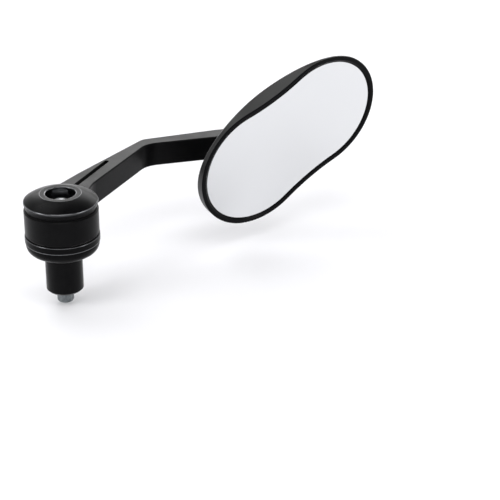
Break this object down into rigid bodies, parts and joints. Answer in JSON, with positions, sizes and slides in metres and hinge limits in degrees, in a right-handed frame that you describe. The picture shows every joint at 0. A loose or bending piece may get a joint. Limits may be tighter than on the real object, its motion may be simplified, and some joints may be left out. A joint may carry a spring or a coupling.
{
  "type": "bar-end mirror",
  "caption": "Black bar-end motorcycle mirror: an expanding plug, a bent arm that turns on the plug's hub, and an hourglass-shaped mirror head on a ball joint.",
  "frame": {"origin": "centre of the hub's face that meets the handlebar end", "axes": "+Z outwards along the handlebar's axis, +X towards the mirror head's end of the arm"},
  "size_m": [0.1711, 0.12, 0.0979],
  "materials": {
    "black_anodised": "satin",
    "black_plastic": "satin",
    "black_rubber": "matte",
    "pale_nylon": "matte",
    "zinc_steel": "satin",
    "bright_steel": "polished",
    "mirror_glass": "polished"
  },
  "bodies": {
    "bar_end": {"hub_flange": "black_anodised", "end_cap": "black_anodised", "expander_sleeve": "black_rubber", "expander_washer": "zinc_steel", "expander_nut": "zinc_steel", "expander_bolt": "zinc_steel", "thrust_washer": "pale_nylon", "cap_gasket": "black_rubber"},
    "arm": {"arm": "black_anodised", "clamp_screw": "zinc_steel"},
    "post": {"pivot_screw": "zinc_steel", "pivot_washer": "zinc_steel", "friction_washer": "pale_nylon", "swivel_post": "black_anodised", "ball_stud": "bright_steel"},
    "liner": {"ball_liner": "pale_nylon"},
    "head": {"head_shell": "black_plastic", "ball_clamp_plate": "black_plastic", "clamp_plate_screws": "zinc_steel", "mirror_glass": "mirror_glass", "glass_pad": "black_rubber"}
  },
  "joints": [
    {"name": "arm_turn", "type": "hinge", "parent": "bar_end", "child": "arm", "pos_m": [0, 0, 0], "axis": [0, 0, 1], "continuous": true},
    {"name": "post_swivel", "type": "hinge", "parent": "arm", "child": "post", "pos_m": [0.07845, 0.09544, 0.01593], "axis": [0.2672, -0.9636, 0], "range_deg": [-90, 90]},
    {"name": "head_tilt", "type": "hinge", "parent": "post", "child": "liner", "pos_m": [0.08486, 0.0723, 0.01593], "axis": [0.8716, 0.2417, 0.4264], "range_deg": [-38, 1]},
    {"name": "head_pan", "type": "hinge", "parent": "liner", "child": "head", "pos_m": [0.08486, 0.0723, 0.01593], "axis": [-0.3025, -0.4191, 0.856], "range_deg": [-32, 7]}
  ]
}
